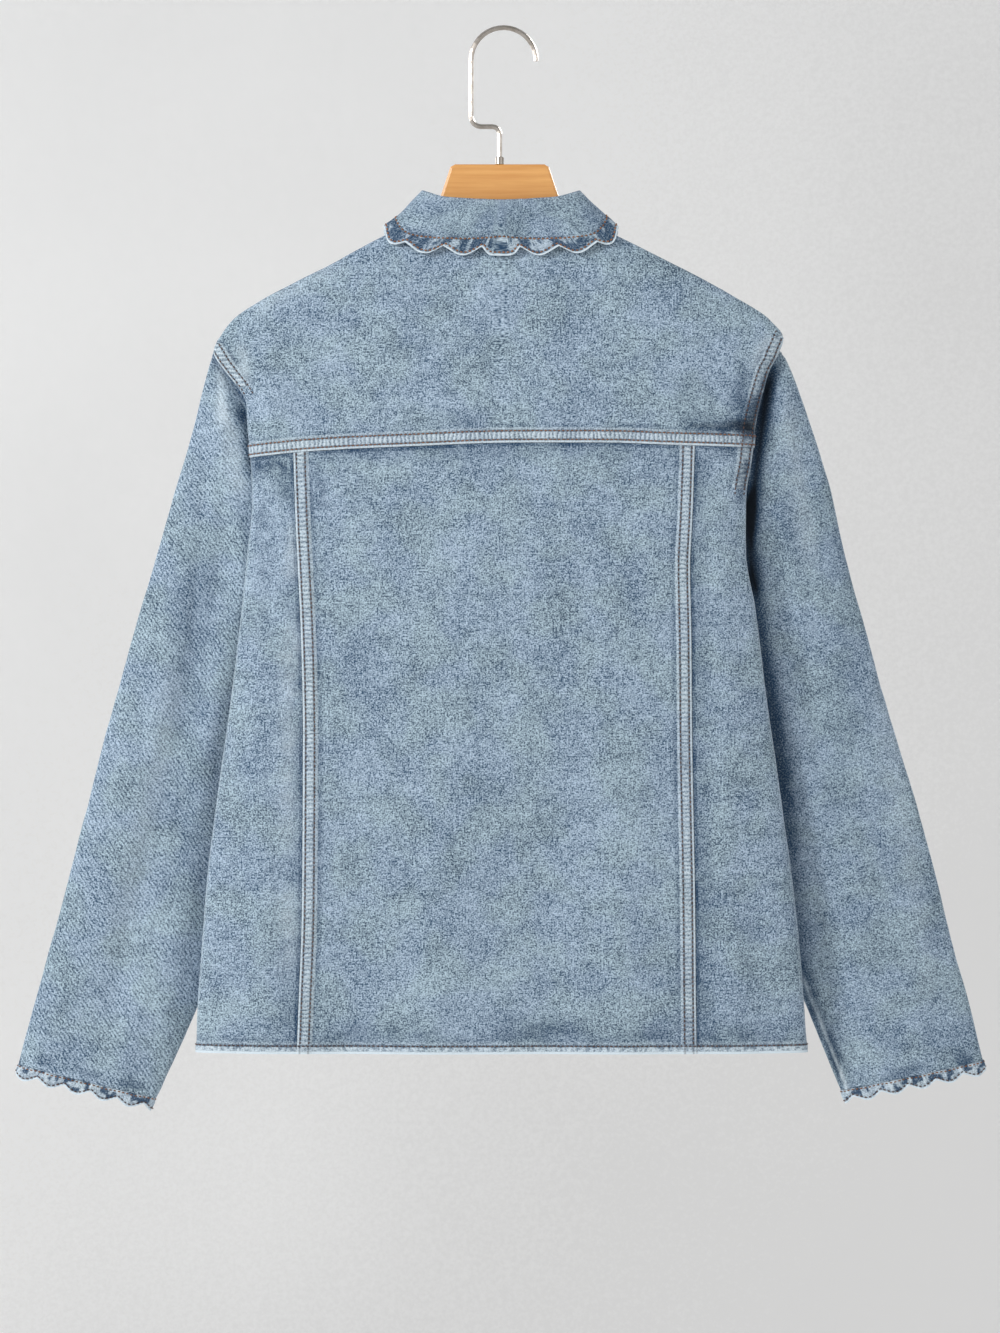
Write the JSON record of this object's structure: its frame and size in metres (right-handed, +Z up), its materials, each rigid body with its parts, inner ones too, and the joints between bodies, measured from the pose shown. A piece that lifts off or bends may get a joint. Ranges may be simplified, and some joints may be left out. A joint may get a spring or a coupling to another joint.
{
  "type": "denim jacket on a wooden hanger",
  "caption": "Light-wash denim jacket with a scalloped collar and cuffs, hung flat on a wooden hanger with a bent wire hook.",
  "frame": {"origin": "the top of the inside of the hanger's hook, where a rail or a wall hook carries it", "axes": "+Z up, +X to the wearer's right, +Y from the jacket's back to its front"},
  "size_m": [0.7431, 0.0664, 0.8282],
  "materials": {
    "denim": "matte",
    "wood": "satin",
    "nickel": "satin"
  },
  "bodies": {
    "root": {"back_yoke": "denim", "back_center": "denim", "back_side_left": "denim", "back_side_right": "denim", "front_left": "denim", "front_right": "denim", "front_band_left": "denim", "front_band_right": "denim", "collar_stand": "denim", "collar_fall": "denim", "sleeve_left": "denim", "sleeve_right": "denim", "cuff_left": "denim", "cuff_right": "denim", "button_1": "nickel", "button_2": "nickel", "button_3": "nickel", "button_4": "nickel", "button_5": "nickel", "button_6": "nickel", "hanger_wood": "wood", "hanger_ferrule": "nickel", "hanger_hook": "nickel"}
  },
  "joints": []
}
